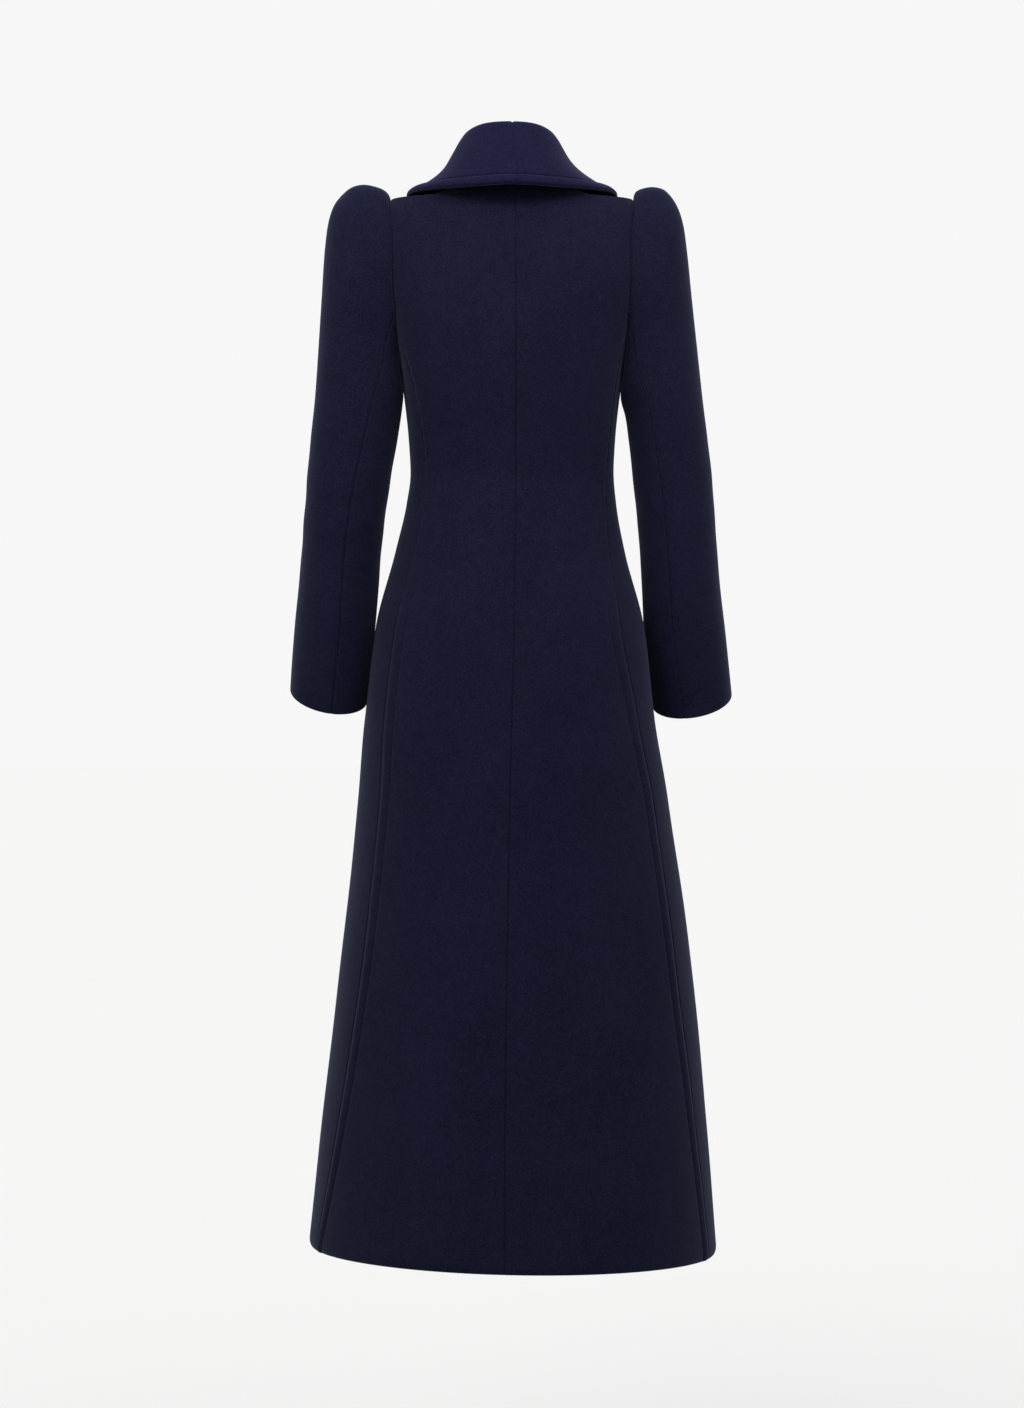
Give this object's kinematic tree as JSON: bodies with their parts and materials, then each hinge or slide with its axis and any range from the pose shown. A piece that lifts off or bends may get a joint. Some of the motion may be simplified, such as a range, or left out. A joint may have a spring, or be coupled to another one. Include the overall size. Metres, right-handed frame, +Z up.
{
  "type": "long wool coat",
  "caption": "Long fitted wool coat with a shawl collar, puffed sleeve heads and a flared skirt, hollow as worn, made as separate cut cloth panels.",
  "frame": {"origin": "middle of the yoke between the shoulders, where the wearer's shoulders carry the coat", "axes": "+Z up, -Y towards the coat's front, +X towards the wearer's left"},
  "size_m": [0.5758, 0.4591, 1.4611],
  "materials": {
    "navy_wool": "felted wool coating, matte",
    "navy_horn": "satin"
  },
  "bodies": {
    "root": {"back_left": "navy_wool", "back_right": "navy_wool", "side_back_left": "navy_wool", "side_back_right": "navy_wool", "front_left": "navy_wool", "front_right": "navy_wool", "top_sleeve_left": "navy_wool", "top_sleeve_right": "navy_wool", "under_sleeve_left": "navy_wool", "under_sleeve_right": "navy_wool", "collar_left": "navy_wool", "collar_right": "navy_wool", "button_1": "navy_horn", "button_2": "navy_horn", "button_3": "navy_horn", "button_4": "navy_horn"}
  },
  "joints": []
}
